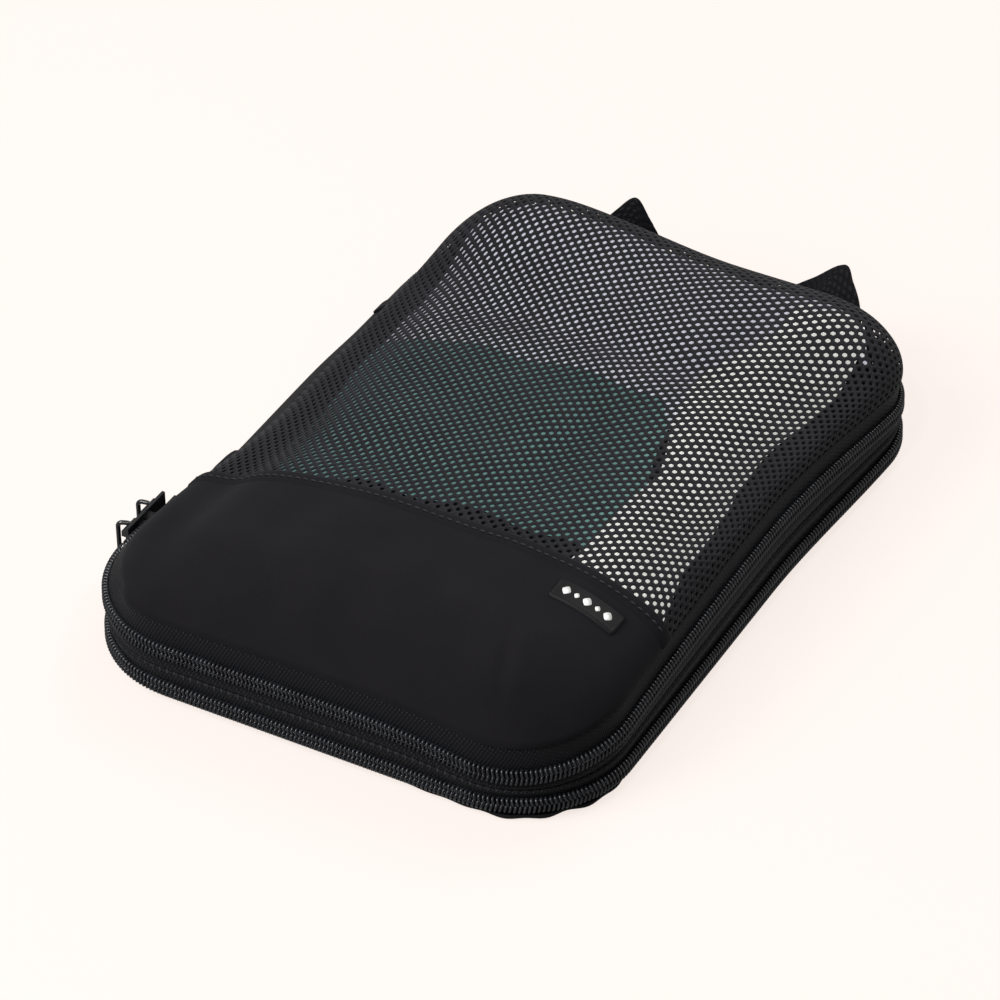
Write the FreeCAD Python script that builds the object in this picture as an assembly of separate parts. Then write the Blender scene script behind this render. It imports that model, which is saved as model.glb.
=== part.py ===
import FreeCAD, Part
import math
import os

# A zipped travel packing cube: a shallow fabric tray, a compression zip, a side band,
# the main zip and a domed lid with a mesh window. Millimetres. +X is to the right along
# the short side, +Y runs away along the long side to the handle, +Z is up, and the
# origin is on the floor at the middle of the base.

# Plan: the line both zips follow is a rounded rectangle.
HALF_W = 93.5
HALF_L = 128.0
CORNER_R = 38.0
STRAIGHT_W = HALF_W - CORNER_R
STRAIGHT_L = HALF_L - CORNER_R

# Heights of the sewn layers.
BASE_T = 1.0
COMP_ZIP_Z = 6.0
BAND_SEAM_Z = 13.8
MAIN_ZIP_Z = 21.5
TOP_SEAM_Z = 32.0
SEAM_GAP = 0.3

# Zip chain: each half strip is 2.5 tall, and the slider's post runs in the gap.
CHAIN_GAP = 0.5
COIL_H = 2.5
COIL_OUT = 1.4
TAPE_OUT = -1.0
TAPE_IN = -1.6

# The lid is hinged along the left side; the zip's two ends stop on that side.
ZIP_FRONT_END = -36.0
ZIP_REAR_END = 75.0
TAB_L = 6.0

# Dome of the lid: outward offset from the zip line, and height, of its outer face.
DOME_T = 0.8
DOME_TOP = 52.0
DOME = [(-1.0, 35.5), (-4.0, 41.5), (-10.0, 46.5), (-20.0, 50.0), (-CORNER_R, DOME_TOP)]
PANEL_SEAM_Y = -58.0

# Sliders and their wire pulls.
SLIDER_L = 11.0
SLIDER_H = 8.1
PLATE_T = 1.1
PLATE_OUT = 1.75
PLATE_IN = -1.95
POST_T = 0.4
BRIDGE_IN = 2.85
BRIDGE_GAP = 1.8
BRIDGE_BAR = 0.8
WIRE_R = 0.8
RING_W = 6.4
RING_TOP = 2.9
RING_DROP = 11.0
LOOP_L = 15.0
LOOP_HALF = 3.0
FRONT_SLIDER_Y = -79.0
REAR_SLIDER_Y = -67.0
COMP_SLIDER_Y = -30.0

# Handle: webbing strap bowed out from the far side, with a raised hump near each end.
STRAP_T = 1.4
STRAP_W = 19.0
STRAP_MID_X = 17.5
STRAP_HALF = 50.0
STRAP_START = 129.8
STRAP_BOW = 13.0
STRAP_SKEW = 1.8


def vec(x, y, z):
    return FreeCAD.Vector(x, y, z)


def face(points):
    return Part.Face(Part.makePolygon([vec(*p) for p in points + points[:1]]))


def rect(low, high, bottom, top):
    """Cross-section between two outward offsets and two heights."""
    return [(low, bottom), (high, bottom), (high, top), (low, top)]


def fused(solids):
    whole = solids[0].multiFuse(solids[1:]) if len(solids) > 1 else solids[0]
    return whole.removeSplitter()


def block(x0, x1, y0, y1, z0, z1):
    return Part.makeBox(x1 - x0, y1 - y0, z1 - z0, vec(x0, y0, z0))


def long_side(profile, sign, y0, y1):
    """Straight run along the right (+1) or left (-1) side."""
    points = [(sign * (HALF_W + n), y0, z) for n, z in profile]
    return face(points).extrude(vec(0, y1 - y0, 0))


def short_side(profile, sign):
    """Straight run along the far (+1) or near (-1) side."""
    points = [(-STRAIGHT_W, sign * (HALF_L + n), z) for n, z in profile]
    return face(points).extrude(vec(2 * STRAIGHT_W, 0, 0))


def corner(profile, side_x, side_y):
    """Quarter turn about the corner centre on the given sides."""
    cx = side_x * STRAIGHT_W
    cy = side_y * STRAIGHT_L
    points = [(cx + side_x * (CORNER_R + n), cy, z) for n, z in profile]
    return face(points).revolve(vec(cx, cy, 0), vec(0, 0, 1), 90 * side_x * side_y)


def three_sides(profile):
    """The near, right and far sides with all four corners, without the left side."""
    solids = [corner(profile, sx, sy) for sx in (-1, 1) for sy in (-1, 1)]
    solids.append(short_side(profile, -1))
    solids.append(short_side(profile, 1))
    solids.append(long_side(profile, 1, -STRAIGHT_L, STRAIGHT_L))
    return solids


def ring(profile):
    left = long_side(profile, -1, -STRAIGHT_L, STRAIGHT_L)
    return fused(three_sides(profile) + [left])


def ring_to_zip_ends(profile):
    """Round the whole plan except the part of the left side that has no main zip."""
    front = long_side(profile, -1, -STRAIGHT_L, ZIP_FRONT_END)
    rear = long_side(profile, -1, ZIP_REAR_END, STRAIGHT_L)
    return fused(three_sides(profile) + [front, rear])


def rounded_plate(inset, z0, z1):
    radius = CORNER_R - inset
    half_w = HALF_W - inset
    half_l = HALF_L - inset
    solids = [block(-half_w, half_w, -STRAIGHT_L, STRAIGHT_L, z0, z1)]
    solids.append(block(-STRAIGHT_W, STRAIGHT_W, -half_l, half_l, z0, z1))
    for sx in (-1, 1):
        for sy in (-1, 1):
            centre = vec(sx * STRAIGHT_W, sy * STRAIGHT_L, z0)
            solids.append(Part.makeCylinder(radius, z1 - z0, centre))
    return fused(solids)


def lower_tape():
    """Tape of the compression zip, turned under to meet the base."""
    outer = [(-5.5, 0.2), (-1.8, 0.2), (TAPE_OUT, 1.1), (TAPE_OUT, COMP_ZIP_Z - CHAIN_GAP)]
    inner = [(TAPE_IN, COMP_ZIP_Z - CHAIN_GAP), (TAPE_IN, 1.5), (-2.1, 0.9), (-5.5, 0.9)]
    return ring(outer + inner)


def coil_below(height):
    top = height - CHAIN_GAP
    return rect(TAPE_OUT, COIL_OUT, top - COIL_H, top)


def coil_above(height):
    bottom = height + CHAIN_GAP
    return rect(TAPE_OUT, COIL_OUT, bottom, bottom + COIL_H)


def upper_tape_section():
    return rect(TAPE_IN, TAPE_OUT, MAIN_ZIP_Z + CHAIN_GAP, TOP_SEAM_Z)


def zip_end(profile, y0, y1):
    """Upper half of the main zip beside the hinge, where it stays with the frame."""
    return long_side(profile, -1, y0, y1)


def end_tab(y0, y1):
    """Folded tab sewn over an end of the main zip."""
    return block(-HALF_W - 1.9, -HALF_W + 1.0, y0, y1, MAIN_ZIP_Z - 4, MAIN_ZIP_Z + 4)


def dome_layer(low, high):
    """Shell over the whole lid between two distances above the dome's outer face."""
    inset = DOME_T if low < 0 else 0
    outer = [(n, z + high) for n, z in DOME]
    inner = [(n - inset, z + low) for n, z in DOME[:-1]] + [(-CORNER_R, DOME_TOP + low)]
    if low < 0:
        outer = [(-1.0, TOP_SEAM_Z + SEAM_GAP)] + outer
        inner = [(-1.8, TOP_SEAM_Z + SEAM_GAP)] + inner
    profile = outer + inner[::-1]
    middle = block(-STRAIGHT_W, STRAIGHT_W, -STRAIGHT_L, STRAIGHT_L,
                   DOME_TOP + low, DOME_TOP + high)
    return fused([ring(profile), middle])


def patch(x0, x1, y0, y1, low, high):
    """Piece of a layer that lies on the dome."""
    return dome_layer(low, high).common(block(x0, x1, y0, y1, 36, 60))


def slider(y, z, nose):
    """Two plates joined by a post, with a bridge for the pull. nose is +1 or -1 in Y."""
    half_l = SLIDER_L / 2
    half_h = SLIDER_H / 2
    x = -HALF_W
    solids = [block(x - PLATE_OUT - PLATE_T, x - PLATE_OUT,
                    y - half_l, y + half_l, z - half_h, z + half_h)]
    solids.append(block(x - PLATE_IN, x - PLATE_IN + PLATE_T,
                        y - half_l, y + half_l, z - half_h, z + half_h))
    post_y = y + nose * (half_l - 2)
    solids.append(block(x - PLATE_OUT, x - PLATE_IN,
                        post_y - 2, post_y + 2, z - POST_T / 2, z + POST_T / 2))
    outer = BRIDGE_IN + BRIDGE_GAP + BRIDGE_BAR
    for leg_y in (y - 3.2, y + 3.2):
        solids.append(block(x - outer, x - BRIDGE_IN,
                            leg_y - 0.8, leg_y + 0.8, z - 1.1, z + 1.1))
    solids.append(block(x - outer, x - outer + BRIDGE_BAR,
                        y - 3.2, y + 3.2, z - 1.1, z + 1.1))
    return fused(solids)


def wire_corner(x, z, start, radius):
    """Quarter bend of wire about a vertical-plane centre at local (x, z)."""
    angle = math.radians(start)
    at = vec(x + radius * math.cos(angle), 0, z + radius * math.sin(angle))
    tangent = vec(-math.sin(angle), 0, math.cos(angle))
    disc = Part.Face(Part.Wire(Part.makeCircle(WIRE_R, at, tangent)))
    return disc.revolve(vec(x, 0, z), vec(0, -1, 0), 90)


def wire_rod(x0, z0, x1, z1):
    length = math.hypot(x1 - x0, z1 - z0)
    return Part.makeCylinder(WIRE_R, length, vec(x0, 0, z0), vec(x1 - x0, 0, z1 - z0))


def wire_pull(y, z, swing, length, top, bottom):
    """Closed wire loop hung on the slider's bridge, swung out from the wall about Z."""
    bend = 1.6
    high = top - WIRE_R
    low = bottom + WIRE_R
    end = length - 2 * WIRE_R
    loop = [wire_rod(0, low + bend, 0, high - bend)]
    loop.append(wire_rod(end, low + bend, end, high - bend))
    loop.append(wire_rod(bend, high, end - bend, high))
    loop.append(wire_rod(bend, low, end - bend, low))
    loop.append(wire_corner(end - bend, high - bend, 0, bend))
    loop.append(wire_corner(bend, high - bend, 90, bend))
    loop.append(wire_corner(bend, low + bend, 180, bend))
    loop.append(wire_corner(end - bend, low + bend, 270, bend))
    whole = fused(loop)
    whole.rotate(vec(0, 0, 0), vec(0, 0, 1), swing)
    whole.translate(vec(-HALF_W - BRIDGE_IN - BRIDGE_GAP / 2, y, z))
    return whole


def hanging_ring(y, swing):
    return wire_pull(y, MAIN_ZIP_Z, swing, RING_W, RING_TOP, -RING_DROP)


def strap_wall():
    """Upright strip that follows the strap in plan, taller than the strap."""
    steps = 12
    outer = []
    inner = []
    for i in range(steps + 1):
        t = -1 + 2 * i / steps
        x = STRAP_MID_X + STRAP_HALF * t
        y = STRAP_START + STRAP_BOW * (1 - t * t) - STRAP_SKEW * (1 + t) / 2
        inner.append((x, y, 0))
        outer.append((x, y + STRAP_T, 0))
    return face(inner + outer[::-1]).extrude(vec(0, 0, 60))


def strap_band():
    """Prism with the strap's shape as seen from the far side: two humps and a sag."""
    half = STRAP_W / 2
    line = [(-1.0, 31.0, 3.0), (-0.92, 32.0, 7.0), (-0.8, 34.5, half), (-0.6, 32.0, half),
            (-0.3, 25.0, half), (0, 23.0, half), (0.3, 25.0, half), (0.6, 32.0, half),
            (0.8, 34.5, half), (0.92, 32.0, 7.0), (1.0, 31.0, 3.0)]
    upper = [(STRAP_MID_X + STRAP_HALF * t, 120, z + h) for t, z, h in line]
    lower = [(STRAP_MID_X + STRAP_HALF * t, 120, z - h) for t, z, h in line]
    return face(upper + lower[::-1]).extrude(vec(0, 40, 0))


def anchor(t):
    """Stitched tab that holds one end of the strap to the lid's edge."""
    x = STRAP_MID_X + STRAP_HALF * t
    around = ring(rect(TAPE_OUT, 0.9, 24.8, TOP_SEAM_Z))
    return around.common(block(x - 5, x + 5, 0, 200, 20, 40))


def base_nodes():
    return {
        "base_panel": rounded_plate(8.0, 0, BASE_T),
        "base_binding": ring(rect(-8.0, -5.5, 0.1, 1.6)),
        "comp_zip_lower_tape": lower_tape(),
        "comp_zip_lower_coil": ring(coil_below(COMP_ZIP_Z)),
        "gusset_fabric": ring(rect(-8.0, -3.5, 5.4, 6.4)),
    }


def frame_nodes():
    front = (-STRAIGHT_L + SEAM_GAP, ZIP_FRONT_END)
    rear = (ZIP_REAR_END, STRAIGHT_L - SEAM_GAP)
    tape = upper_tape_section()
    coil = coil_above(MAIN_ZIP_Z)
    low = BAND_SEAM_Z + 0.2
    return {
        "comp_zip_upper_tape": ring(rect(TAPE_IN, TAPE_OUT, COMP_ZIP_Z + CHAIN_GAP, low - 0.4)),
        "comp_zip_upper_coil": ring(coil_above(COMP_ZIP_Z)),
        "side_band": ring(rect(-2.3, TAPE_IN, 10.7, 16.8)),
        "frame_binding": ring(rect(-4.0, -2.3, 12.3, 15.3)),
        "main_zip_lower_tape": ring_to_zip_ends(
            rect(TAPE_IN, TAPE_OUT, low, MAIN_ZIP_Z - CHAIN_GAP)),
        "main_zip_lower_coil": ring_to_zip_ends(coil_below(MAIN_ZIP_Z)),
        "hinge_wall": long_side(rect(TAPE_IN, TAPE_OUT, low, TOP_SEAM_Z), -1,
                                ZIP_FRONT_END, ZIP_REAR_END),
        "front_end_tape": zip_end(tape, *front),
        "front_end_coil": zip_end(coil, *front),
        "rear_end_tape": zip_end(tape, *rear),
        "rear_end_coil": zip_end(coil, *rear),
        "front_end_tab": end_tab(ZIP_FRONT_END, ZIP_FRONT_END + TAB_L),
        "rear_end_tab": end_tab(ZIP_REAR_END - TAB_L, ZIP_REAR_END),
    }


def lid_nodes():
    shell = dome_layer(-DOME_T, 0)
    near = block(-200, 200, -200, PANEL_SEAM_Y, 0, 100)
    seam = (PANEL_SEAM_Y - 4, PANEL_SEAM_Y + 1)
    return {
        "front_panel": shell.common(near),
        "mesh_panel": shell.cut(near),
        "panel_seam_tape": patch(-86, 86, seam[0], seam[1], 0, 0.5),
        "lid_binding": ring(rect(-3.3, -1.8, TOP_SEAM_Z + SEAM_GAP, 34.4)),
        "main_zip_upper_tape": fused(three_sides(upper_tape_section())),
        "main_zip_upper_coil": fused(three_sides(coil_above(MAIN_ZIP_Z))),
        "label_patch": patch(58, 84, -79.5, -70.5, 0, 1.0),
        "label_mark": patch(61.5, 80.5, -77, -73, 1.0, 1.3),
        "handle_anchor_left": anchor(-1),
        "handle_anchor_right": anchor(1),
    }


def moving_nodes():
    return {
        "handle_strap": strap_wall().common(strap_band()),
        "main_slider_front": slider(FRONT_SLIDER_Y, MAIN_ZIP_Z, 1),
        "main_slider_rear": slider(REAR_SLIDER_Y, MAIN_ZIP_Z, -1),
        "comp_slider": slider(COMP_SLIDER_Y, COMP_ZIP_Z, 1),
        "front_pull": hanging_ring(FRONT_SLIDER_Y, 200),
        "rear_pull": hanging_ring(REAR_SLIDER_Y, 190),
        "comp_pull": wire_pull(COMP_SLIDER_Y, COMP_ZIP_Z, 258, LOOP_L, LOOP_HALF, -LOOP_HALF),
    }


def main():
    os.makedirs("parts", exist_ok=True)
    for group in (base_nodes(), frame_nodes(), lid_nodes(), moving_nodes()):
        for node, shape in group.items():
            shape.exportStep("parts/" + node + ".step")
            print(node, shape.isValid(), len(shape.Solids), round(shape.Volume, 1))


main()
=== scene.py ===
import math

import bpy
import numpy as np
from mathutils import Matrix, Vector


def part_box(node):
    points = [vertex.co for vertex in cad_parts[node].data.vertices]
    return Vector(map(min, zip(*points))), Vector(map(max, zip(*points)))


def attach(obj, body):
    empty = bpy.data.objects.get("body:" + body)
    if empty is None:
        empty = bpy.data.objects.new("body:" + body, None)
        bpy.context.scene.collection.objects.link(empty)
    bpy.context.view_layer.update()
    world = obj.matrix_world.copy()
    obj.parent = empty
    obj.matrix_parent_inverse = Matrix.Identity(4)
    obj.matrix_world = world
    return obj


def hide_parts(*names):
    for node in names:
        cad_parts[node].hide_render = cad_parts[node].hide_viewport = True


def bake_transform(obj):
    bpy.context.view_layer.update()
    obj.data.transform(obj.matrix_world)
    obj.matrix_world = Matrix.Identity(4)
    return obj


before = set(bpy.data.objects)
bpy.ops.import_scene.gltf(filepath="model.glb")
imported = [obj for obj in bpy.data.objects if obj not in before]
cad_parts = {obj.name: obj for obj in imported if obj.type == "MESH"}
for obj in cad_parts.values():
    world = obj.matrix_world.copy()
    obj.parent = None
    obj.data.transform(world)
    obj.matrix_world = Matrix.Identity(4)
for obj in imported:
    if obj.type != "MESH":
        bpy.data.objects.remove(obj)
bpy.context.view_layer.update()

# Shapes are worked out in millimetres and turned into metres where a mesh is made.
MM = 0.001


def lowest(node):
    """Lowest corner of a CAD piece's box, in millimetres."""
    return np.array(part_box(node)[0]) / MM


def highest(node):
    """Highest corner of a CAD piece's box, in millimetres."""
    return np.array(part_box(node)[1]) / MM


# ---------------------------------------------------------------- driving sizes
# Plan of the zips' centre line: a rectangle with round corners, straight for SW and SL
# either side of the middle.
TAPE_SET_BACK = 1.0
HALF_W = highest("comp_zip_upper_tape")[0] + TAPE_SET_BACK
HALF_L = highest("comp_zip_upper_tape")[1] + TAPE_SET_BACK
CORNER_R = 38.0
SW = HALF_W - CORNER_R
SL = HALF_L - CORNER_R
# Heights of the two zips, of the seam between them and of the lid's seam.
COMP_Z = lowest("comp_zip_upper_coil")[2] - 0.5
MAIN_Z = (highest("main_zip_lower_coil")[2] + lowest("main_zip_upper_coil")[2]) / 2
BAND_Z = highest("comp_zip_upper_tape")[2] + 0.2
SEAM_Z = highest("main_zip_upper_tape")[2]
# Ends of the main zip along the left side.
ZIP_FRONT_Y = lowest("hinge_wall")[1]
ZIP_REAR_Y = highest("hinge_wall")[1]
# The lid's dome.
DOME_TOP = highest("front_panel")[2]
DOME_FOOT = SEAM_Z + 0.3
DOME_R = CORNER_R - 1.0
PANEL_SEAM_Y = highest("front_panel")[1]
# Thickness of the cloths.
CLOTH_T = 0.5
LINING_T = 0.4


def smooth(t):
    """0 to 1 as t does, with a gentle start and end."""
    t = np.clip(t, 0.0, 1.0)
    return t * t * (3 - 2 * t)


# ---------------------------------------------------------------- plan of the zips
def plan_table():
    """Points, outward normals and arc length round the plan, from the front zip end."""
    def straight(x0, y0, x1, y1, nx, ny):
        count = int(max(abs(x1 - x0), abs(y1 - y0)) / 0.25)
        t = np.linspace(0, 1, count)[:, None]
        xy = np.array([[x0, y0]]) * (1 - t) + np.array([[x1, y1]]) * t
        return xy, np.tile([[nx, ny]], (count, 1))

    def turn(cx, cy, start):
        a = np.radians(np.linspace(start, start + 90, 240))
        n = np.stack([np.cos(a), np.sin(a)], 1)
        return np.array([[cx, cy]]) + CORNER_R * n, n

    runs = [
        straight(-HALF_W, ZIP_FRONT_Y, -HALF_W, -SL, -1, 0), turn(-SW, -SL, 180),
        straight(-SW, -HALF_L, SW, -HALF_L, 0, -1), turn(SW, -SL, 270),
        straight(HALF_W, -SL, HALF_W, SL, 1, 0), turn(SW, SL, 0),
        straight(SW, HALF_L, -SW, HALF_L, 0, 1), turn(-SW, SL, 90),
        straight(-HALF_W, SL, -HALF_W, ZIP_FRONT_Y, -1, 0),
    ]
    xy = np.concatenate([r[0] for r in runs])
    normal = np.concatenate([r[1] for r in runs])
    length = np.concatenate([[0], np.cumsum(np.hypot(*np.diff(xy, axis=0).T))])
    keep = np.concatenate([[True], np.diff(length) > 1e-6])
    return xy[keep], normal[keep], length[keep]


PLAN_XY, PLAN_N, PLAN_S = plan_table()
RING = PLAN_S[-1]
S_FRONT = SL + ZIP_FRONT_Y
S_REAR = RING - (SL - ZIP_FRONT_Y)
S_END = RING - (ZIP_REAR_Y - ZIP_FRONT_Y)


def plan(s):
    """(x, y, nx, ny) at arc length s round the plan."""
    s = np.mod(s, RING + 1e-9)
    x, y = (np.interp(s, PLAN_S, PLAN_XY[:, i]) for i in (0, 1))
    nx, ny = (np.interp(s, PLAN_S, PLAN_N[:, i]) for i in (0, 1))
    return x, y, nx, ny


# ---------------------------------------------------------------- how the filled cube sits
LEAN = 6.0          # the left wall leans in by this all along
LEAN_BEHIND = 9.0   # and by this much more behind the near corner
FAR_PUSH = 5.0      # the far right corner is pushed out
BULGE = 2.5         # and its lid swells further
ZIP_RISE = 6.0      # the right side's zips rise halfway along
ZIP_DROP = 11.0     # and drop towards both ends


def settle(p):
    """Moves points of the plain shape to where the filled, soft cube holds them."""
    x, y, z = p[..., 0], p[..., 1], p[..., 2]
    u = x / HALF_W
    v = y / HALF_L
    wave = smooth((u - 0.25) / 0.65) * (ZIP_RISE - ZIP_DROP * v * v)
    wave = wave + 0.5 * np.sin(x / 17.0 + 1.3) * np.sin(y / 23.0)
    rise = smooth((z - COMP_Z) / (MAIN_Z - COMP_Z))
    calm = 1 - 0.7 * smooth((z - SEAM_Z) / (DOME_TOP - SEAM_Z))
    beside_sliders = 1 - smooth((-u - 0.8) / 0.15) * smooth((-y - 50) / 10)
    side = np.clip((30 - x) / (HALF_W + 30), 0, 1)
    lean = LEAN * smooth((y + 127) / 12) + LEAN_BEHIND * smooth((y + 90) / 80)
    behind = smooth((y + 85) / 35)
    rise_front = smooth((z - 23) / 10)
    rise_behind = smooth((z - 12) / (24 - 6.5 * smooth((y - 25) / 35)))
    dx = lean * side * (behind * rise_behind + (1 - behind) * rise_front)
    far_right = smooth((x - 20) / 70) * smooth((y - 10) / 95)
    lift = smooth((z - 26) / 14) * (1 - smooth((z - 48) / 10))
    dx = dx + far_right * (FAR_PUSH + BULGE * lift)
    return np.stack([x + dx, y + 2.0 * far_right, z + wave * rise * calm * beside_sliders], -1)


def wall(s, n, z):
    """Point on the side of the cube at arc length s, outward offset n and height z."""
    x, y, nx, ny = plan(s)
    return settle(np.stack([x + nx * n, y + ny * n, z + 0 * x], -1))


# ---------------------------------------------------------------- dome of the lid
def dome_profile():
    """Arc length from the flat middle, with radius and height of the full and the slack rim."""
    r = DOME_R * np.sin(np.linspace(0, math.pi / 2, 400))
    rise = DOME_TOP - DOME_FOOT
    h = DOME_FOOT + rise * (1 - (r / DOME_R) ** 3) ** 0.62
    arc = np.concatenate([[0], np.cumsum(np.hypot(np.diff(r), np.diff(h)))])
    share = arc / arc[-1]
    slack_r = DOME_R * share ** 0.95
    slack_h = DOME_FOOT + rise * (1 - share ** 2.4)
    return arc, r, h, slack_r, slack_h


ARC, FULL_R, FULL_H, SLACK_R, SLACK_H = dome_profile()
SKIRT = ARC[-1]


def hill(x, y, cx, cy, wx, wy):
    """Round hill of height 1 at cx, cy, which fades out over wx and wy."""
    return np.exp(-((x - cx) / wx) ** 2 - ((y - cy) / wy) ** 2)


def arch(x, y):
    """How far the cloth falls away from the lid's middle line towards its two sides."""
    far = smooth((y - 60) / 50)
    right = 0.0006 + 0.0010 * smooth((y + 60) / 60) - 0.0009 * far
    left = 0.0020 - 0.0017 * far
    return np.where(x > 0, right, left) * x * x


def dome_relief(x, y):
    """Height that the folded clothes and the cloth's own slack add to the plain dome."""
    z = 1.5 + 8.0 * hill(x, y, -45, 104, 44, 34) - 1.6 * hill(x, y, 34, 122, 26, 20)
    z += 3.5 * hill(x, y, 84, 112, 24, 24)
    z -= arch(x, y)
    z += 1.4 * hill(x, y, 58, 10, 18, 80) - 1.4 * hill(x, y, 26, -6, 9, 55)
    z -= 1.2 * hill(x, y, 10, 50, 70, 8) + 1.0 * hill(x, y, -40, -40, 40, 9)
    z += 0.4 * np.sin(0.11 * x + 0.05 * y + 0.6) * np.cos(0.03 * x - 0.09 * y)
    return z


def panel_crease(x, y):
    """Tuck in the front panel where it turns the near corner."""
    along = (x - 60) * 0.35 - (y + 110) * 0.94
    across = (x - 60) * 0.94 + (y + 110) * 0.35
    tuck = -1.3 * np.exp(-(across / 2.6) ** 2 - (along / 13) ** 2)
    return tuck + 0.7 * np.exp(-((across - 5) / 3.5) ** 2 - (along / 14) ** 2)


def dome(a, b, lift=0.0):
    """Point on the lid for flat-cloth coordinates a, b, lifted along the surface normal."""
    def on_lid(a, b):
        qx = np.sign(a) * np.maximum(np.abs(a) - SW, 0)
        qy = np.sign(b) * np.maximum(np.abs(b) - SL, 0)
        rho = np.hypot(qx, qy)
        full = smooth((0.55 * a / HALF_W + 0.9 * b / HALF_L + 0.7) / 0.9)
        r = full * np.interp(rho, ARC, FULL_R) + (1 - full) * np.interp(rho, ARC, SLACK_R)
        h = full * np.interp(rho, ARC, FULL_H) + (1 - full) * np.interp(rho, ARC, SLACK_H)
        scale = r / np.maximum(rho, 1e-9)
        x = np.clip(a, -SW, SW) + qx * scale
        y = np.clip(b, -SL, SL) + qy * scale
        free = 1 - smooth((rho - 0.35 * SKIRT) / (0.65 * SKIRT))
        z = h + free * dome_relief(x, y) + free * panel_crease(x, y)
        return settle(np.stack([x, y, z], -1))

    p = on_lid(a, b)
    if np.any(lift != 0):
        e = 0.3
        along_a = on_lid(a + e, b) - on_lid(a - e, b)
        along_b = on_lid(a, b + e) - on_lid(a, b - e)
        normal = np.cross(along_a, along_b)
        normal /= np.maximum(np.linalg.norm(normal, axis=-1, keepdims=True), 1e-9)
        p = p + normal * (lift if np.isscalar(lift) else lift[..., None])
    return p


def seam_b(a):
    """Flat-cloth line where the front panel is sewn to the mesh."""
    return PANEL_SEAM_Y - 0.7 - 3.4 * smooth((a - 25) / 60)


# ---------------------------------------------------------------- mesh making
def make(name, verts, faces, uv=None):
    """A smooth-shaded mesh object from points in millimetres."""
    mesh = bpy.data.meshes.new(name)
    mesh.from_pydata((np.asarray(verts) * MM).tolist(), [], [list(f) for f in faces])
    mesh.update()
    mesh.shade_smooth()
    if uv is not None:
        layer = mesh.uv_layers.new(name="UVMap")
        index = np.empty(len(mesh.loops), np.int32)
        mesh.loops.foreach_get("vertex_index", index)
        layer.data.foreach_set("uv", (np.asarray(uv) * MM)[index].astype(np.float32).ravel())
    obj = bpy.data.objects.new(name, mesh)
    bpy.context.scene.collection.objects.link(obj)
    return obj


def grid_faces(rows, cols, wrap_rows=False):
    """Quads of a grid of points, joined up behind the last row if wrap_rows."""
    faces = []
    for i in range(rows if wrap_rows else rows - 1):
        j = np.arange(cols - 1)
        a = i * cols + j
        b = ((i + 1) % rows) * cols + j
        faces.extend(np.stack([a, b, b + 1, a + 1], 1).tolist())
    return faces


def face_up(faces, a, b):
    """Turns faces so that they run counter-clockwise in the flat cloth, seen from outside."""
    first = np.array(faces[0])
    x, y = np.asarray(a).ravel()[first], np.asarray(b).ravel()[first]
    area = np.sum(x * np.roll(y, -1) - y * np.roll(x, -1))
    faces = np.array(faces)
    return faces if area > 0 else faces[:, ::-1]


def thicken(obj, thickness, offset=-1.0):
    """Gives cloth its thickness: offset -1 puts it inside the surface, 0 on both sides."""
    mod = obj.modifiers.new("Thickness", "SOLIDIFY")
    mod.thickness = thickness * MM
    mod.offset = offset
    return obj


def weld(obj, distance=0.01):
    """Joins points that lie closer together than this."""
    mod = obj.modifiers.new("Weld", "WELD")
    mod.merge_threshold = distance * MM
    return obj


def finish_piece(obj, material, body, slot, *nodes):
    """Paints the piece, puts it on its body and hides the CAD pieces it stands for."""
    obj.data.materials.append(material)
    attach(obj, body)
    if nodes:
        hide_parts(*nodes)
    return obj


def band(name, s0, s1, section, closed=False, step=1.6):
    """Cloth strip round the side: section is a list of (outward offset, height)."""
    count = int((s1 - s0) / step)
    s = np.linspace(s0, s1, count, endpoint=not closed)
    section = np.array(section, float)
    across = np.concatenate([[0], np.cumsum(np.hypot(*np.diff(section, axis=0).T))])
    verts = [wall(s, n, z) for n, z in section]
    verts = np.stack(verts, 1).reshape(-1, 3)
    uv = np.stack(np.meshgrid(s, across, indexing="ij"), -1).reshape(-1, 2)
    return make(name, verts, grid_faces(count, len(section), closed), uv)


def tube(name, path, side, radius, sides=5):
    """Tube along path, with the ring of points started from the side vectors."""
    t = np.gradient(path, axis=0)
    t /= np.linalg.norm(t, axis=1, keepdims=True)
    b = np.cross(t, side)
    b /= np.linalg.norm(b, axis=1, keepdims=True)
    c = np.cross(t, b)
    angle = np.arange(sides) * 2 * math.pi / sides
    ring = (b[:, None] * np.cos(angle)[None, :, None] +
            c[:, None] * np.sin(angle)[None, :, None])
    verts = (path[:, None] + radius * ring).reshape(-1, 3)
    faces = []
    i = np.arange(len(path) - 1)
    for k in range(sides):
        m = (k + 1) % sides
        quad = [i * sides + k, i * sides + m, (i + 1) * sides + m, (i + 1) * sides + k]
        faces.extend(np.stack(quad, 1).tolist())
    last = (len(path) - 1) * sides
    faces.append(list(range(sides))[::-1])
    faces.append([last + k for k in range(sides)])
    return make(name, verts, faces)


# ---------------------------------------------------------------- materials
def node_tree(name):
    """New material with its node tree and its shader."""
    material = bpy.data.materials.new(name)
    material.use_nodes = True
    tree = material.node_tree
    return material, tree, tree.nodes["Principled BSDF"]


def link(tree, a, b):
    tree.links.new(a, b)


def add(tree, kind, **values):
    """New shader node with its settings and inputs given by name."""
    node = tree.nodes.new(kind)
    for key, value in values.items():
        if hasattr(node, key):
            setattr(node, key, value)
        else:
            node.inputs[key.replace("_", " ")].default_value = value
    return node


def noise(tree, scale, detail=3.0, coord=None):
    node = add(tree, "ShaderNodeTexNoise", Scale=scale, Detail=detail)
    link(tree, coord or tree.nodes["Place"].outputs["Object"], node.inputs["Vector"])
    return node


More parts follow.
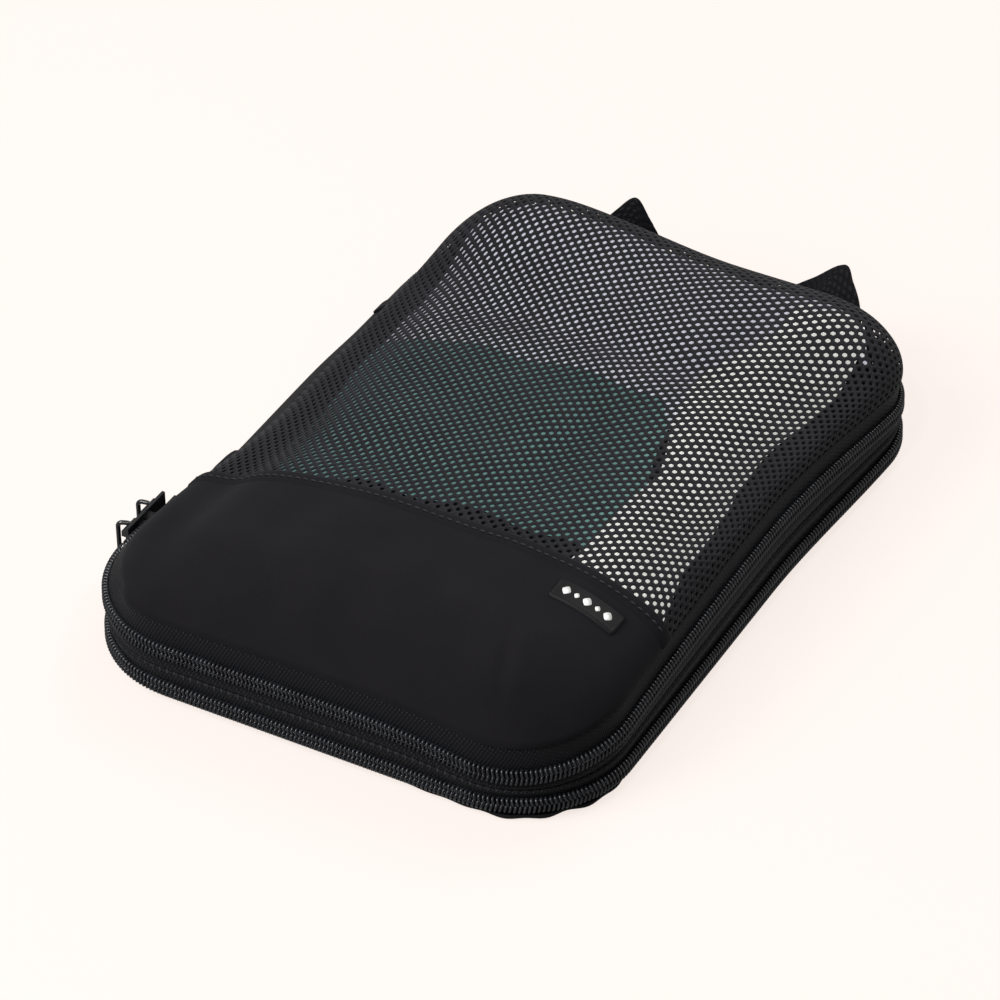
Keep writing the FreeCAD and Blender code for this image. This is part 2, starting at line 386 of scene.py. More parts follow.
def place(tree):
    """Coordinates that the material's patterns are laid out in."""
    return add(tree, "ShaderNodeTexCoord", name="Place")


def colour_between(tree, factor, low, high, dark, light):
    """Colour from dark to light as factor goes from low to high."""
    ramp = add(tree, "ShaderNodeValToRGB")
    ramp.color_ramp.elements[0].position = low
    ramp.color_ramp.elements[0].color = (*dark, 1)
    ramp.color_ramp.elements[1].position = high
    ramp.color_ramp.elements[1].color = (*light, 1)
    link(tree, factor, ramp.inputs["Fac"])
    return ramp.outputs["Color"]


def bump(tree, height, strength, distance, below=None):
    node = add(tree, "ShaderNodeBump", Strength=strength, Distance=distance)
    link(tree, height, node.inputs["Height"])
    if below is not None:
        link(tree, below, node.inputs["Normal"])
    return node.outputs["Normal"]


def cloth(name, dark, light, grain, grain_depth, rough, sheen, mottle=60.0):
    """Short-napped or plain cloth: fine grain, slow mottling and a soft sheen."""
    material, tree, shader = node_tree(name)
    place(tree)
    fine = noise(tree, grain, 4.0)
    slow = noise(tree, mottle, 3.0)
    mix = add(tree, "ShaderNodeMath", operation="ADD")
    link(tree, fine.outputs["Fac"], mix.inputs[0])
    link(tree, slow.outputs["Fac"], mix.inputs[1])
    half = add(tree, "ShaderNodeMath", operation="MULTIPLY")
    half.inputs[1].default_value = 0.5
    link(tree, mix.outputs[0], half.inputs[0])
    link(tree, colour_between(tree, half.outputs[0], 0.35, 0.65, dark, light),
         shader.inputs["Base Color"])
    soft = bump(tree, slow.outputs["Fac"], 0.12, 0.0006)
    link(tree, bump(tree, fine.outputs["Fac"], 0.6, grain_depth, soft), shader.inputs["Normal"])
    shader.inputs["Roughness"].default_value = rough
    shader.inputs["Sheen Weight"].default_value = sheen
    shader.inputs["Sheen Roughness"].default_value = 0.5
    shader.inputs["Specular IOR Level"].default_value = 0.12
    return material


def woven(name, dark, light, rib, twill, depth, rough=0.75):
    """Ribbed tape or webbing, from the strip's own length and width coordinates."""
    material, tree, shader = node_tree(name)
    place(tree)
    turn = add(tree, "ShaderNodeMapping")
    turn.inputs["Rotation"].default_value = (0, 0, twill)
    link(tree, tree.nodes["Place"].outputs["UV"], turn.inputs["Vector"])
    ribs = add(tree, "ShaderNodeTexWave", Scale=rib, Distortion=0.6)
    ribs.inputs["Detail Scale"].default_value = 2.0
    link(tree, turn.outputs["Vector"], ribs.inputs["Vector"])
    cross = add(tree, "ShaderNodeTexWave", bands_direction="Y", Scale=rib * 0.8, Distortion=0.4)
    link(tree, turn.outputs["Vector"], cross.inputs["Vector"])
    knots = add(tree, "ShaderNodeMath", operation="MULTIPLY")
    link(tree, ribs.outputs["Fac"], knots.inputs[0])
    link(tree, cross.outputs["Fac"], knots.inputs[1])
    slow = noise(tree, 90.0)
    link(tree, colour_between(tree, knots.outputs[0], 0.05, 0.7, dark, light),
         shader.inputs["Base Color"])
    base = bump(tree, slow.outputs["Fac"], 0.3, 0.0008)
    link(tree, bump(tree, knots.outputs[0], 0.9, depth, base), shader.inputs["Normal"])
    shader.inputs["Roughness"].default_value = rough
    shader.inputs["Sheen Weight"].default_value = 0.03
    shader.inputs["Specular IOR Level"].default_value = 0.15
    return material


def moulded(name, dark, light, rough, coat=0.0, metal=0.0, shine=0.5):
    """Plastic, rubber or enamel with a faint surface grain and uneven polish."""
    material, tree, shader = node_tree(name)
    place(tree)
    fine = noise(tree, 900.0)
    slow = noise(tree, 140.0)
    link(tree, colour_between(tree, slow.outputs["Fac"], 0.3, 0.7, dark, light),
         shader.inputs["Base Color"])
    span = add(tree, "ShaderNodeMapRange")
    span.inputs["To Min"].default_value = rough * 0.8
    span.inputs["To Max"].default_value = rough * 1.25
    link(tree, slow.outputs["Fac"], span.inputs["Value"])
    link(tree, span.outputs["Result"], shader.inputs["Roughness"])
    link(tree, bump(tree, fine.outputs["Fac"], 0.4, 0.00005), shader.inputs["Normal"])
    shader.inputs["Specular IOR Level"].default_value = shine
    shader.inputs["Coat Weight"].default_value = coat
    shader.inputs["Coat Roughness"].default_value = 0.2
    shader.inputs["Metallic"].default_value = metal
    return material


PANEL = cloth("peach_skin", (0.0044, 0.0039, 0.0054), (0.0068, 0.0060, 0.0080),
              2400.0, 0.00012, 0.85, 0.03)
LINING = cloth("lining", (0.006, 0.006, 0.008), (0.011, 0.011, 0.013),
               1600.0, 0.0001, 0.7, 0.05)
MESH_YARN = cloth("mesh_yarn", (0.005, 0.005, 0.007), (0.011, 0.011, 0.014),
                  3000.0, 0.0002, 0.6, 0.05)
TAPE = woven("zip_tape", (0.0020, 0.0022, 0.0034), (0.0085, 0.0092, 0.0125), 280.0, 0.5,
             0.0003, 0.5)
WEBBING = woven("webbing", (0.004, 0.004, 0.0055), (0.014, 0.014, 0.017), 160.0, 0.75, 0.0004)
THREAD = moulded("thread", (0.004, 0.004, 0.006), (0.010, 0.010, 0.013), 0.65)
COIL = moulded("coil_plastic", (0.010, 0.0105, 0.013), (0.024, 0.026, 0.031), 0.24)
ENAMEL = moulded("black_enamel", (0.006, 0.006, 0.008), (0.014, 0.014, 0.017), 0.28,
                 coat=0.6, metal=0.3)
RUBBER = moulded("label_rubber", (0.003, 0.003, 0.004), (0.006, 0.006, 0.007), 0.55,
                 shine=0.15)
WHITE = moulded("label_white", (0.75, 0.75, 0.73), (0.85, 0.85, 0.83), 0.5)


# ---------------------------------------------------------------- zip chains
PITCH = 1.5   # one turn of the coil
WIRE = 0.47   # radius of the coil's wire
COIL_REACH = 2.7


def coil_half(name, height, up, s0, s1, shift):
    """One side of a coil zip: a helix whose outer legs slant back from the chain's middle."""
    per_turn = 10
    turns = int((s1 - s0) / PITCH)
    tau = np.arange(turns * per_turn + 1) / per_turn
    phase = 2 * math.pi * tau
    reach = COIL_REACH / 2 * (1 - np.cos(phase))
    n = 0.1 + 0.95 * np.sin(phase)
    s = s0 + (tau + shift) * PITCH - 0.45 * reach
    x, y, nx, ny = plan(s)
    z = height + up * reach
    path = settle(np.stack([x + nx * n, y + ny * n, z], -1))
    along = np.stack([-ny, nx, 0 * nx], -1)
    return tube(name, path, along, WIRE)


def zip_coils():
    """Both chains. The main one is missing from the hinge wall, past its two ends."""
    lower = coil_half("comp_coil_lower", COMP_Z, -1, 0.0, RING, 0.0)
    finish_piece(lower, COIL, "base", "coil_plastic", "comp_zip_lower_coil")
    upper = coil_half("comp_coil_upper", COMP_Z, 1, 0.0, RING, 0.5)
    finish_piece(upper, COIL, "frame", "coil_plastic", "comp_zip_upper_coil")
    lower = coil_half("main_coil_lower", MAIN_Z, -1, 0.5, S_END, 0.0)
    finish_piece(lower, COIL, "frame", "coil_plastic", "main_zip_lower_coil")
    upper = coil_half("main_coil_upper", MAIN_Z, 1, S_FRONT, S_REAR, 0.5)
    finish_piece(upper, COIL, "lid", "coil_plastic", "main_zip_upper_coil")
    front = coil_half("main_coil_front_end", MAIN_Z, 1, 0.5, S_FRONT - 0.6, 0.5)
    finish_piece(front, COIL, "frame", "coil_plastic", "front_end_coil")
    rear = coil_half("main_coil_rear_end", MAIN_Z, 1, S_REAR + 0.9, S_END, 0.5)
    finish_piece(rear, COIL, "frame", "coil_plastic", "rear_end_coil")


def bowed(z0, z1, out, proud, count=7):
    """Section of a tape that bellies out a little between its two edges."""
    t = np.linspace(0, 1, count)
    return list(zip(out + proud * np.sin(math.pi * t), z0 + (z1 - z0) * t))


def zip_tapes():
    """Tapes over and under both chains, each bellied a little by the filling."""
    under = [(-6.5, 0.9), (-4.5, 0.5), (-2.6, 0.5), (-1.5, 0.9), (-1.0, 1.8),
             (-1.0, 3.2), (-1.05, 4.6), (-1.1, COMP_Z - 0.5)]
    piece = thicken(band("comp_tape_lower", 0, RING, under, True), CLOTH_T)
    finish_piece(piece, TAPE, "base", "tape_fabric", "comp_zip_lower_tape")
    section = [(-1.1, COMP_Z + 0.5), (-1.0, 9.0), (-0.5, 10.6), (0.1, 12.0), (0.2, 13.0),
               (-0.5, 13.7), (-1.6, BAND_Z)]
    piece = thicken(band("comp_tape_upper", 0, RING, section, True), CLOTH_T)
    finish_piece(piece, TAPE, "frame", "tape_fabric", "comp_zip_upper_tape")
    section = [(-1.6, BAND_Z + 0.1), (-0.4, 14.2), (0.1, 15.2), (-0.1, 16.6), (-0.7, 18.0),
               (-1.0, 19.4), (-1.1, MAIN_Z - 0.5)]
    piece = thicken(band("main_tape_lower", 0, S_END, section), CLOTH_T)
    finish_piece(piece, TAPE, "frame", "tape_fabric", "main_zip_lower_tape")
    section = bowed(MAIN_Z + 0.5, SEAM_Z + 0.2, -1.1, 0.35) + [(-1.9, SEAM_Z + 0.9)]
    piece = thicken(band("main_tape_upper", S_FRONT, S_REAR, section), CLOTH_T)
    finish_piece(piece, TAPE, "lid", "tape_fabric", "main_zip_upper_tape")
    piece = thicken(band("main_tape_front_end", 0, S_FRONT - 0.4, section), CLOTH_T)
    finish_piece(piece, TAPE, "frame", "tape_fabric", "front_end_tape")
    piece = thicken(band("main_tape_rear_end", S_REAR + 0.4, S_END, section), CLOTH_T)
    finish_piece(piece, TAPE, "frame", "tape_fabric", "rear_end_tape")


def side_linings():
    """Cloth and bindings inside the wall."""
    section = bowed(10.8, 16.8, -2.2, -0.2)
    piece = thicken(band("side_band_lining", 0, RING, section, True), LINING_T)
    finish_piece(piece, LINING, "frame", "lining_fabric", "side_band")
    section = [(-2.4, 12.3), (-3.6, 12.5), (-3.9, 13.8), (-3.6, 15.1), (-2.4, 15.3)]
    piece = thicken(band("frame_binding_tape", 0, RING, section, True), LINING_T, 0.0)
    finish_piece(piece, LINING, "frame", "lining_fabric", "frame_binding")
    section = [(-2.3, SEAM_Z + 0.3), (-3.4, SEAM_Z + 0.1), (-4.6, SEAM_Z + 0.3),
               (-4.9, SEAM_Z + 1.0), (-4.2, SEAM_Z + 1.6), (-3.0, SEAM_Z + 1.3)]
    piece = thicken(band("lid_binding_tape", 0, RING, section, True), LINING_T, 0.0)
    finish_piece(piece, LINING, "lid", "lining_fabric", "lid_binding")


def hinge_wall():
    """Cloth between the band seam and the lid where the main zip is absent."""
    section = [(-1.6, BAND_Z + 0.1), (-0.4, 14.3), (0.2, 16.5), (0.1, 20.0), (-0.1, 24.0),
               (-0.4, 28.0), (-0.9, 30.6), (-1.4, SEAM_Z + 0.5)]
    piece = thicken(band("hinge_wall_cloth", S_END - 0.3, RING + 0.2, section), 0.6)
    piece.data.materials.append(PANEL)
    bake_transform(piece)
    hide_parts("hinge_wall")


def end_tabs():
    """Folded tabs over the two ends of the main zip."""
    for name, s, node in (("zip_tab_front", -2.8, "front_end_tab"),
                          ("zip_tab_rear", S_END + 2.8, "rear_end_tab")):
        section = [(0.6, MAIN_Z - 4.2), (1.5, MAIN_Z - 3.6), (1.9, MAIN_Z - 2.0),
                   (2.0, MAIN_Z), (1.9, MAIN_Z + 2.0), (1.5, MAIN_Z + 3.6),
                   (0.6, MAIN_Z + 4.2)]
        piece = thicken(band(name, s - 3.1, s + 3.1, section, step=0.6), 0.8)
        finish_piece(piece, PANEL, "frame", "panel_fabric", node)


# ---------------------------------------------------------------- base and gusset
def corner_ruffle(x, y):
    """How far the slack base cloth pushes out at the near corner, 0 to 1."""
    return hill(x, y, 76, -112, 34, 26)


def base_panel():
    """Base cloth: flat on the floor in the middle, turned up into the zip's tape."""
    s = np.arange(0, RING, 1.5)
    rows = []
    uv_rows = []
    rings = [(-1.6, 2.6), (-2.2, 1.2), (-3.6, 0.45), (-6.5, 0.25), (-12, 0.1), (-20, 0.1),
             (-29, 0.1), (-37.9, 0.1)]
    for n, z in rings:
        x, y, nx, ny = plan(s)
        ruffle = corner_ruffle(x, y)
        fold = 0.5 + 0.5 * np.sin(s / 3.1) * np.cos(s / 7.7 + 1)
        push = ruffle * (1.2 + 2.0 * fold) * math.exp(-((n + 2.2) / 2.6) ** 2)
        drop = ruffle * 0.6 * fold * math.exp(-((n + 2.2) / 2.0) ** 2)
        out = n + push
        height = np.maximum(z - drop, 0.05)
        rows.append(settle(np.stack([x + nx * out, y + ny * out, height], -1)))
        uv_rows.append(np.stack([x, y], -1))
    verts = np.stack(rows, 1).reshape(-1, 3)
    uv = np.stack(uv_rows, 1).reshape(-1, 2)
    faces = grid_faces(len(s), len(rings), True)
    inner = [i * len(rings) + len(rings) - 1 for i in range(len(s))]
    faces.append(inner)
    piece = thicken(make("base_cloth", verts, faces, uv), CLOTH_T)
    finish_piece(piece, PANEL, "base", "panel_fabric", "base_panel")


def base_binding():
    """Tape over the raw edge inside the base."""
    section = [(-5.6, 1.0), (-6.4, 1.8), (-7.4, 1.8), (-8.2, 1.0), (-8.4, 0.6)]
    piece = thicken(band("base_binding_tape", 0, RING, section, True), 0.35, 0.0)
    finish_piece(piece, LINING, "base", "lining_fabric", "base_binding")


def gusset():
    """Folded cloth behind the compression zip."""
    section = [(-1.75, 4.1), (-3.6, 4.6), (-3.8, 5.2), (-7.0, 5.3), (-9.6, 5.45), (-7.0, 5.7),
               (-3.9, 5.85), (-7.0, 6.0), (-9.4, 6.2), (-7.0, 6.45), (-3.8, 6.6), (-3.6, 7.2),
               (-1.75, 7.7)]
    piece = band("gusset_cloth", 0, RING, section, True)
    piece.data.materials.append(LINING)
    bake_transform(piece)
    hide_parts("gusset_fabric")


# ---------------------------------------------------------------- lid
def panel_patch(name, lift, rows):
    """Front-panel cloth from the lid's near edge back to the seam line."""
    xs = np.linspace(-SW, SW, 78)
    rho = np.linspace(0, SKIRT, 26)
    turn = np.radians(np.linspace(0, 90, 30))
    back = np.linspace(0, 1, rows)
    patches = []

    def to_seam(a, t):
        return -SL + (seam_b(a) + SL) * t

    patches.append(np.meshgrid(xs, rho, indexing="ij"))
    patches[-1] = (patches[-1][0], -SL - patches[-1][1])
    a, t = np.meshgrid(xs, back, indexing="ij")
    patches.append((a, to_seam(a, t)))
    for side in (-1, 1):
        r, t = np.meshgrid(rho, back, indexing="ij")
        a = side * (SW + r)
        patches.append((a, to_seam(a, t)))
        r, w = np.meshgrid(rho, turn, indexing="ij")
        patches.append((side * (SW + r * np.cos(w)), -SL - r * np.sin(w)))
    verts, faces, uv = [], [], []
    start = 0
    for a, b in patches:
        verts.append(dome(a, b, lift).reshape(-1, 3))
        uv.append(np.stack([a, b], -1).reshape(-1, 2))
        quads = face_up(grid_faces(*a.shape), a + 1e-4 * (b + SL), b)
        faces.extend((quads + start).tolist())
        start += a.size
    obj = make(name, np.concatenate(verts), faces, np.concatenate(uv))
    weld(obj)
    return thicken(obj, CLOTH_T)


def front_panel():
    """Close-woven cloth over the near end of the lid."""
    piece = panel_patch("front_panel_cloth", 0.55, 30)
    finish_piece(piece, PANEL, "lid", "panel_fabric", "front_panel")


def seam_hem():
    """Folded edge of the front panel over the mesh."""
    a = np.linspace(-(SW + SKIRT) + 0.5, SW + SKIRT - 0.5, 150)
    section = [(0.9, 0.1), (0.75, 0.9), (0.1, 1.2), (-1.6, 1.15), (-4.2, 1.0), (-5.2, 0.55)]
    verts = np.stack([dome(a, seam_b(a) + d, h) for d, h in section], 1).reshape(-1, 3)
    uv = np.stack([np.stack([a, seam_b(a) + d], -1) for d, h in section], 1).reshape(-1, 2)
    faces = face_up(grid_faces(len(a), len(section)), uv[:, 0], uv[:, 1]).tolist()
    piece = make("panel_hem", verts, faces, uv)
    finish_piece(piece, PANEL, "lid", "panel_fabric", "panel_seam_tape")


# One lockstitch: how far along it, thread radius and height, at five places.
STITCH_PITCH = 3.0
STITCH_AT = np.array([0.0, 0.35, 1.2, 2.05, 2.4])
STITCH_R = [0.05, 0.24, 0.3, 0.24, 0.05]
STITCH_H = [-0.35, 0.0, 0.12, 0.0, -0.35]


def stitches(name, a, b, lift, body):
    """Row of lockstitches along flat-cloth points a, b."""
    points = dome(a, b, lift)
    step = np.linalg.norm(np.diff(points, axis=0), axis=1)
    arc = np.concatenate([[0], np.cumsum(step)])
    starts = np.arange(0.5, arc[-1] - 2.6, STITCH_PITCH)
    verts, faces = [], []
    for s in starts:
        at = s + STITCH_AT
        line = np.stack([np.interp(at, arc, points[:, i]) for i in range(3)], 1)
        t = line[-1] - line[0]
        t /= np.linalg.norm(t)
        side = np.cross(t, [0, 0, 1.0])
        side /= np.linalg.norm(side)
        up = np.cross(side, t)
        base = len(verts)
        for p, r, h in zip(line, STITCH_R, STITCH_H):
            for k in range(5):
                w = k * 2 * math.pi / 5
                verts.append(p + up * (h + r * math.sin(w)) + side * r * math.cos(w))
        for i in range(4):
            for k in range(5):
                m = (k + 1) % 5
                faces.append([base + i * 5 + k, base + i * 5 + m,
                              base + (i + 1) * 5 + m, base + (i + 1) * 5 + k])
    piece = make(name, np.array(verts), faces)
    return finish_piece(piece, THREAD, body, "panel_fabric")


# Open mesh: staggered oval holes, in flat-cloth millimetres.
COLUMN = 2.25
ROW = 3.75
HOLE_X = 0.86
HOLE_Y = 1.08
HOLE_SIDES = 6
YARN_T = 0.4


def mesh_cells():
    """Centres of the mesh's holes, over the lid behind the panel seam."""
    cols = int((SW + SKIRT) / COLUMN) + 1
    rows = int((SL + SKIRT) / ROW) + 16
    i, j = np.meshgrid(np.arange(-cols, cols + 1), np.arange(-rows, rows + 1), indexing="ij")
    a = i * COLUMN
    b = j * ROW + (i % 2) * ROW / 2
    qx = np.maximum(np.abs(a) - SW, 0)
    qy = np.maximum(np.abs(b) - SL, 0)
    keep = (np.hypot(qx, qy) < SKIRT + 0.2) & (b > seam_b(a) - 1.2 * ROW)
    return a[keep], b[keep]


def inside_lid(a, b):
    """Flat-cloth points pulled back onto the lid's edge where they lie past it."""
    qx = np.sign(a) * np.maximum(np.abs(a) - SW, 0)
    qy = np.sign(b) * np.maximum(np.abs(b) - SL, 0)
    rho = np.maximum(np.hypot(qx, qy), 1e-9)
    scale = np.minimum(1, SKIRT / rho)
    return np.clip(a, -SW, SW) + qx * scale, np.clip(b, -SL, SL) + qy * scale


def mesh_panel():
    """Mesh cloth: a ring of yarn round every hole, each ring meeting its neighbours."""
    a0, b0 = mesh_cells()
    tip = (COLUMN ** 2 + (ROW / 2) ** 2) / 2 / COLUMN
    low = COLUMN - tip
    hexagon = np.array([(tip, 0), (low, ROW / 2), (-low, ROW / 2), (-tip, 0),
                        (-low, -ROW / 2), (low, -ROW / 2)])
    angle = np.arange(HOLE_SIDES) * 2 * math.pi / HOLE_SIDES
    hole = np.stack([HOLE_X * np.cos(angle), HOLE_Y * np.sin(angle)], 1)
    outline = np.concatenate([hexagon, hole])
    a = (a0[:, None] + outline[None, :, 0]).ravel()
    b = (b0[:, None] + outline[None, :, 1]).ravel()
    a, b = inside_lid(a, b)
    verts = dome(a, b, 0.0)
    ring = []
    for k in range(HOLE_SIDES):
        m = (k + 1) % HOLE_SIDES
        ring += [(k, HOLE_SIDES + m, HOLE_SIDES + k), (k, m, HOLE_SIDES + m)]
    size = len(outline)
    start = (np.arange(len(a0)) * size)[:, None, None]
    faces = (start + np.array(ring)[None]).reshape(-1, 3)
    obj = make("mesh_cloth", verts, faces.tolist(), np.stack([a, b], 1))
    weld(obj, 0.05)
    thicken(obj, YARN_T, 0.0)
    finish_piece(obj, MESH_YARN, "lid", "mesh_fabric", "mesh_panel")


LABEL_TILT = 0.07
LABEL_LOW = lowest("label_patch")
LABEL_HIGH = highest("label_patch")
LABEL_X = (LABEL_LOW[0] + LABEL_HIGH[0]) / 2
LABEL_Y = (LABEL_LOW[1] + LABEL_HIGH[1]) / 2


def label():
    """Rubber label laid on the front panel, with a raised rim."""
    half_a = (LABEL_HIGH[0] - LABEL_LOW[0]) / 2
    half_b = (LABEL_HIGH[1] - LABEL_LOW[1]) / 2
    u = np.linspace(-1, 1, 37)
    v = np.linspace(-1, 1, 17)
    uu, vv = np.meshgrid(u, v, indexing="ij")
    round_off = 1 - 0.035 * np.clip(np.abs(uu * vv), 0, 1) ** 8
    a = LABEL_X + uu * half_a * round_off
    b = LABEL_Y + vv * half_b * round_off - LABEL_TILT * (a - LABEL_X)
    edge = np.minimum((1 - np.abs(uu)) * half_a, (1 - np.abs(vv)) * half_b)
    rim = np.exp(-((edge - 0.75) / 0.3) ** 2)
    height = 0.5 + 0.85 * smooth(edge / 0.35) + 0.22 * rim
    verts = dome(a, b, height).reshape(-1, 3)
    faces = face_up(grid_faces(len(u), len(v)), a, b).tolist()
    piece = make("label_rubber_patch", verts, faces, np.stack([a, b], -1).reshape(-1, 2))
    finish_piece(piece, RUBBER, "lid", "label_rubber", "label_patch")


LOZENGE_PITCH = 3.9
LOZENGE_SIDES = 16
LOZENGE_POWER = 1.5   # 2 is a straight-sided lozenge and 1 an ellipse


def label_mark():
    """Plain row of large and small lozenges on the label."""
    angle = np.arange(LOZENGE_SIDES) * 2 * math.pi / LOZENGE_SIDES
    ca, sa = np.cos(angle), np.sin(angle)
    verts, faces = [], []
    for k in range(5):
        centre = LABEL_X + (k - 2) * LOZENGE_PITCH
        size = 1.55 if k % 2 == 0 else 0.95
        la = centre + size * np.sign(ca) * np.abs(ca) ** LOZENGE_POWER
        lb = LABEL_Y + 1.15 * size * np.sign(sa) * np.abs(sa) ** LOZENGE_POWER
        lb = lb - LABEL_TILT * (la - LABEL_X)
        start = len(verts)
        top = start + LOZENGE_SIDES
        verts.extend(dome(la, lb, 1.0).tolist())
        verts.extend(dome(la, lb, 1.55).tolist())
        faces.append([top + i for i in range(LOZENGE_SIDES)])
        for i in range(LOZENGE_SIDES):
            j = (i + 1) % LOZENGE_SIDES
            faces.append([start + i, start + j, top + j, top + i])
    piece = make("label_lozenges", np.array(verts), faces)
    finish_piece(piece, WHITE, "lid", "label_paint", "label_mark")


# ---------------------------------------------------------------- handle
# The strap's upper and lower edges, from the left anchor over two humps to the right one.
WEBBING_W = 19.0
WEBBING_T = 1.3
UPPER_EDGE = [(-33.5, 127.4, 30.5), (-32.5, 129.5, 37), (-27.5, 131.5, 44), (-20.5, 133.5, 50),
          (-15.1, 135.5, 40), (-8, 138, 27), (17.5, 140, 22), (34.5, 138.5, 27),
          (47.5, 136, 37), (60, 134, 48), (64.5, 132, 43), (68, 130, 37), (70.5, 127, 30.5)]
LOWER_EDGE = [(-16, 127.6, 30.5), (-18, 129, 31), (-19, 131, 33), (-17.5, 133, 32),
          (-13, 134.5, 24), (-2, 136.5, 13), (17.5, 138, 7), (31.5, 136.5, 12),
          (40.5, 134.5, 21), (47.5, 132.5, 29), (50, 130.5, 31), (51.5, 129.2, 31),
          (51.5, 127.6, 30.5)]


def through(points, count):
    """Smooth curve through points, with count samples."""
    p = np.array(points, float)
    p = np.concatenate([[2 * p[0] - p[1]], p, [2 * p[-1] - p[-2]]])
    u = np.linspace(0, len(points) - 1.000001, count)
    i = u.astype(int)
    t = (u - i)[:, None]
    p0, p1, p2, p3 = p[i], p[i + 1], p[i + 2], p[i + 3]
    return 0.5 * (2 * p1 + (p2 - p0) * t + (2 * p0 - 5 * p1 + 4 * p2 - p3) * t ** 2 +
                  (3 * p1 - p0 - 3 * p2 + p3) * t ** 3)


def handle_strap():
    """Strip of webbing between its two edges, with its own rounded edges."""
    count = 140
    top = through(UPPER_EDGE, count)
    bottom = through(LOWER_EDGE, count)
    across = np.linspace(0, 1, 9)
    verts = top[:, None] * (1 - across)[None, :, None] + bottom[:, None] * across[None, :, None]
    middle = (top + bottom) / 2
    arc = np.concatenate([[0], np.cumsum(np.linalg.norm(np.diff(middle, axis=0), axis=1))])
    uv = np.stack(np.meshgrid(arc, across * WEBBING_W, indexing="ij"), -1).reshape(-1, 2)
    piece = make("handle_webbing", verts.reshape(-1, 3), grid_faces(count, len(across)), uv)
    thicken(piece, WEBBING_T, 0.0)
    bevel = piece.modifiers.new("Edge", "BEVEL")
    bevel.width = 0.4 * MM
    bevel.segments = 2
    bevel.limit_method = "ANGLE"
    finish_piece(piece, WEBBING, "handle", "webbing", "handle_strap")


def handle_ends():
    """The webbing's two ends, sewn flat to the far side of the lid."""
    for name, x0, x1, node in (("handle_end_left", -33.5, -14.5, "handle_anchor_left"),
                               ("handle_end_right", 51.0, 70.0, "handle_anchor_right")):
        s_mid = RING - (SL - ZIP_FRONT_Y) - CORNER_R * math.pi / 2 - (x1 + SW)
        section = [(-0.6, 25.0), (0.3, 25.4), (0.5, 27.0), (0.5, 30.0), (0.3, 31.6)]
        piece = thicken(band(name, s_mid, s_mid + (x1 - x0), section, step=1.0), 1.0)
        finish_piece(piece, WEBBING, "lid", "webbing", node)


# ---------------------------------------------------------------- sliders
def hardware():
    """Sliders with cast edges, and their wire pulls, in black enamel."""
    for node in ("main_slider_front", "main_slider_rear", "comp_slider"):
        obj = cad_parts[node]
        repaint(obj, ENAMEL)
        bevel = obj.modifiers.new("Cast edges", "BEVEL")
        bevel.width = 0.45 * MM
        bevel.segments = 3
        bevel.limit_method = "ANGLE"
        bevel.angle_limit = math.radians(40)
    for node in ("front_pull", "rear_pull", "comp_pull"):
        repaint(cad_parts[node], ENAMEL)


def repaint(obj, material):
    for holder in obj.material_slots:
        holder.material = material


# ---------------------------------------------------------------- clothes seen inside
def garment(name, left, right, near, far, sink, colours, seed):
    """Folded garment lying under the mesh, with a painted glow that stands in for the light
    reaching it. It isn't part of the cube.

    left and right are the garment's two edges as (position along the cube, position across).
    """
    u = np.linspace(-1, 1, 80)
    v = np.linspace(-1, 1, 110)
    uu, vv = np.meshgrid(u, v, indexing="ij")
    b = (near + far) / 2 + vv * (far - near) / 2
    left, right = np.array(left), np.array(right)
    a_left = np.interp(b, left[:, 0], left[:, 1])
    a_right = np.interp(b, right[:, 0], right[:, 1])
    half = (a_right - a_left) / 2
    a = (a_left + a_right) / 2 + uu * half + 1.2 * np.sin(b / 11 + seed)
    b = b + 1.5 * np.sin(a / 13 + seed * 2)
    edge = np.minimum((1 - np.abs(uu)) * half, (1 - np.abs(vv)) * (far - near) / 2)
    roll = np.sqrt(np.clip(1 - (1 - np.clip(edge / 7, 0, 1)) ** 2, 0, 1))
    crease = 0.9 * np.sin(a / 6.5 + 2 * np.sin(b / 30 + seed)) * np.sin(b / 24 + seed)
    p = dome(*inside_lid(a, b), -2.6)
    p[..., 2] += crease - sink - 14 * (1 - roll)
    faces = face_up(grid_faces(*a.shape), a, b).tolist()
    obj = make(name, p.reshape(-1, 3), faces)
    knit_painted_glow = cloth(name + "_knit", *colours, 900.0, 0.0003, 0.9, 0.1)
    shader = knit_painted_glow.node_tree.nodes["Principled BSDF"]
    # Painted light: the garment glows in its light colour, standing in for the light that
    # reaches it through the mesh.
    shader.inputs["Emission Color"].default_value = (*colours[1], 1)
    shader.inputs["Emission Strength"].default_value = 0.65
    obj.data.materials.append(knit_painted_glow)
    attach(obj, "frame")


def clothes():
    """Three folded garments, which show through the mesh."""
    garment("clothes_white", [(-60, 48), (-26, 53), (5, 53), (37, 44), (56, 40), (124, 52)],
            [(-60, 88), (-25, 81), (20, 75), (62, 74), (91, 75), (124, 74)], -60, 124, 0.4,
            ((0.66, 0.65, 0.61), (0.84, 0.83, 0.79)), 0.4)
    garment("clothes_lilac", [(36, -88), (128, -84)], [(36, 46), (128, 74)], 38, 126, 1.2,
            ((0.38, 0.38, 0.44), (0.56, 0.56, 0.63)), 1.9)
    garment("clothes_teal", [(-34, -90), (45, -90)], [(-34, 46), (5, 51), (45, 38)], -31, 42,
            2.6, ((0.07, 0.15, 0.14), (0.13, 0.25, 0.235)), 3.1)


